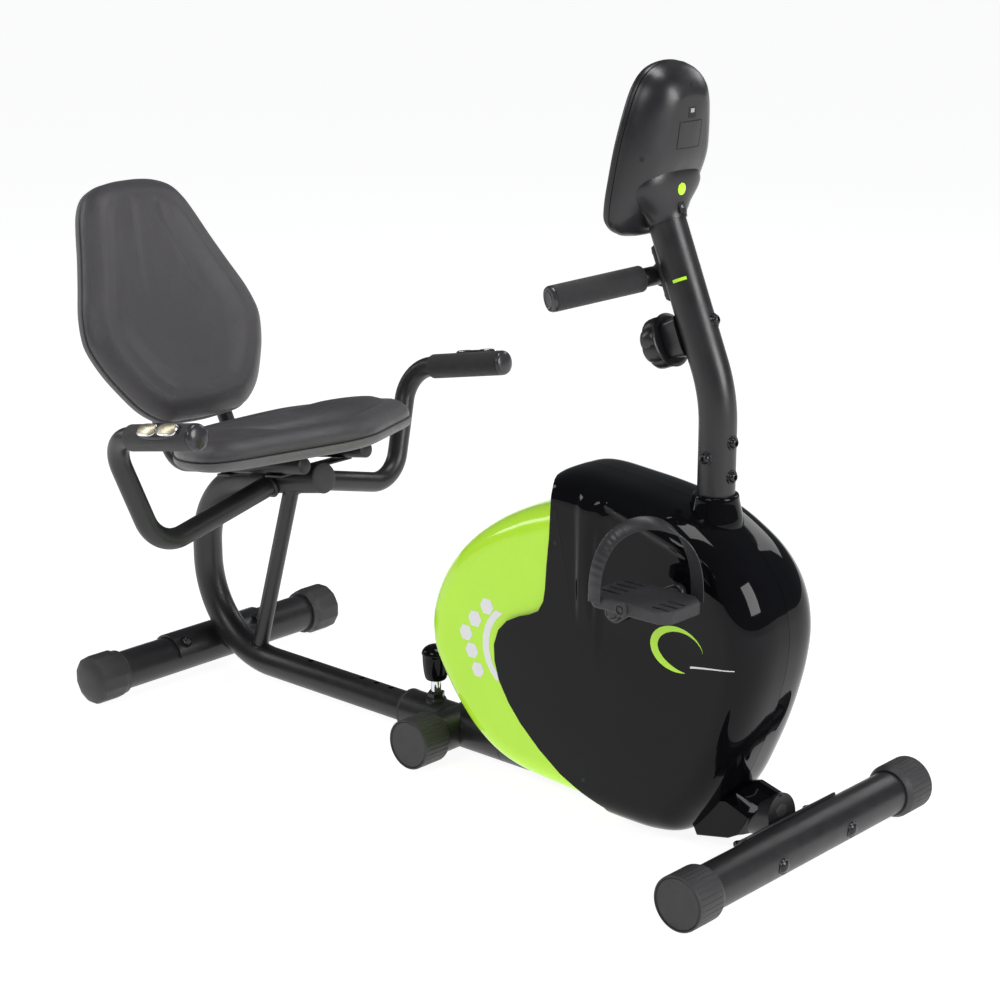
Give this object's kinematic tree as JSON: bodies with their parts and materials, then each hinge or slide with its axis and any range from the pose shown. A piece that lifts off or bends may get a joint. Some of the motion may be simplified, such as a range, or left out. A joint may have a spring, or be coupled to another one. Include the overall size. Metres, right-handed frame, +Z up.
{
  "type": "recumbent exercise bike",
  "caption": "Recumbent magnetic exercise bike: step-through frame, sliding seat, side handles, cased flywheel drive, pedals with straps and a console on a bent post.",
  "frame": {"origin": "centre of the bike's overall box, on the floor", "axes": "+X forward, from the seat towards the pedals; +Y to the rider's left; +Z up"},
  "size_m": [1.3811, 0.6658, 1.0217],
  "materials": {
    "powder_black": "satin powder coat",
    "gloss_black": "high gloss",
    "gloss_green": "high gloss",
    "matte_black": "matte",
    "satin_black": "satin",
    "grip_foam": "soft foam",
    "pad_foam": "moulded foam skin",
    "shell_grey": "matte",
    "pedal_grey": "matte textured",
    "zinc": "zinc plated",
    "sensor_metal": "plated",
    "cast_iron": "machined",
    "display_glass": "clear window",
    "belt_rubber": "ribbed"
  },
  "bodies": {
    "base": {"main_frame": "powder_black", "sleeve_liner": "matte_black", "front_stabilizer": "powder_black", "front_bolt_right": "matte_black", "front_bolt_left": "matte_black", "mid_cap_right": "matte_black", "mid_cap_left": "matte_black", "black_cover_right": "gloss_black", "black_cover_left": "gloss_black", "green_cover_right": "gloss_green", "green_cover_left": "gloss_green", "post_collar": "gloss_black", "console_post": "powder_black", "post_screw_front_high": "matte_black", "post_screw_front_low": "matte_black", "post_screw_side": "matte_black", "tension_dial": "satin_black", "console_bar": "powder_black", "console_grip_right": "grip_foam", "console_grip_left": "grip_foam", "console_back": "satin_black", "console_face": "satin_black", "display_window": "display_glass", "flywheel_axle": "zinc", "drive_belt": "belt_rubber"},
    "seat_carriage": {"seat_frame": "powder_black", "seat_tube_plug": "matte_black", "seat_handle_right": "powder_black", "seat_handle_left": "powder_black", "hand_grip_right": "grip_foam", "hand_grip_left": "grip_foam", "pulse_sensor_right": "sensor_metal", "pulse_sensor_left": "sensor_metal", "seat_rail_right": "powder_black", "seat_rail_left": "powder_black", "back_shell": "shell_grey", "back_pad": "pad_foam", "seat_shell": "shell_grey", "seat_pad": "pad_foam", "rear_stabilizer": "powder_black", "rear_bolt_right": "matte_black", "rear_bolt_left": "matte_black"},
    "pin": {"pull_pin": "gloss_black"},
    "crankset": {"crank_axle": "zinc", "crank_pulley": "matte_black", "crank_arm_right": "satin_black", "crank_arm_left": "satin_black"},
    "right_pedal": {"pedal_right": "pedal_grey", "foot_strap_right": "matte_black"},
    "left_pedal": {"pedal_left": "pedal_grey", "foot_strap_left": "matte_black"},
    "flywheel": {"flywheel": "cast_iron"},
    "brake_arm": {"magnet_arm": "zinc"},
    "knob": {"tension_knob": "gloss_black"},
    "front_roller_right": {"front_roller_right": "matte_black"},
    "front_roller_left": {"front_roller_left": "matte_black"},
    "rear_cap_right": {"rear_cap_right": "matte_black"},
    "rear_cap_left": {"rear_cap_left": "matte_black"},
    "button": {"mode_button": "shell_grey"},
    "door": {"battery_door": "satin_black"}
  },
  "joints": [
    {"name": "seat_slide", "type": "slide", "parent": "base", "child": "seat_carriage", "axis": [1, 0, 0], "range_m": [-0.062, 0.155]},
    {"name": "pin_pull", "type": "slide", "parent": "base", "child": "pin", "axis": [0, 0, 1], "range_m": [0, 0.01], "stiffness_N_per_m": 700},
    {"name": "crank_spin", "type": "hinge", "parent": "base", "child": "crankset", "pos_m": [0.4146, 0, 0.319], "axis": [0, 1, 0], "continuous": true},
    {"name": "pedal_right_spin", "type": "hinge", "parent": "crankset", "child": "right_pedal", "pos_m": [0.51429, -0.155, 0.36549], "axis": [0, 1, 0], "continuous": true},
    {"name": "pedal_left_spin", "type": "hinge", "parent": "crankset", "child": "left_pedal", "pos_m": [0.31491, 0.155, 0.27251], "axis": [0, 1, 0], "continuous": true},
    {"name": "flywheel_spin", "type": "hinge", "parent": "base", "child": "flywheel", "pos_m": [0.2286, 0, 0.212], "axis": [0, 1, 0], "continuous": true},
    {"name": "tension_turn", "type": "hinge", "parent": "base", "child": "knob", "pos_m": [0.42638, 0, 0.66726], "axis": [-0.9232, 0, -0.3843], "range_deg": [0, 315]},
    {"name": "brake_swing", "type": "hinge", "parent": "base", "child": "brake_arm", "pos_m": [0.1616, 0, 0.09595], "axis": [0, 1, 0], "range_deg": [0, 2.6]},
    {"name": "front_roller_right_spin", "type": "hinge", "parent": "base", "child": "front_roller_right", "pos_m": [0.6536, -0.2325, 0.037], "axis": [0, 1, 0], "continuous": true},
    {"name": "front_roller_left_spin", "type": "hinge", "parent": "base", "child": "front_roller_left", "pos_m": [0.6536, 0.2325, 0.037], "axis": [0, 1, 0], "continuous": true},
    {"name": "rear_cap_right_turn", "type": "hinge", "parent": "seat_carriage", "child": "rear_cap_right", "pos_m": [-0.4984, -0.2275, 0.037], "axis": [0, 1, 0], "range_deg": [-180, 180]},
    {"name": "rear_cap_left_turn", "type": "hinge", "parent": "seat_carriage", "child": "rear_cap_left", "pos_m": [-0.4984, 0.2275, 0.037], "axis": [0, 1, 0], "range_deg": [-180, 180]},
    {"name": "mode_press", "type": "slide", "parent": "base", "child": "button", "axis": [0.9863, 0, -0.165], "range_m": [0, 0.0015], "stiffness_N_per_m": 800},
    {"name": "battery_door_swing", "type": "hinge", "parent": "base", "child": "door", "pos_m": [0.44641, 0, 0.9168], "axis": [0, 1, 0], "range_deg": [0, 80]}
  ],
  "couplings": [
    {"joint": "crank_spin", "follows": "flywheel_spin", "ratio": 0.16848},
    {"joint": "brake_swing", "follows": "tension_turn", "ratio": 0.007937}
  ]
}
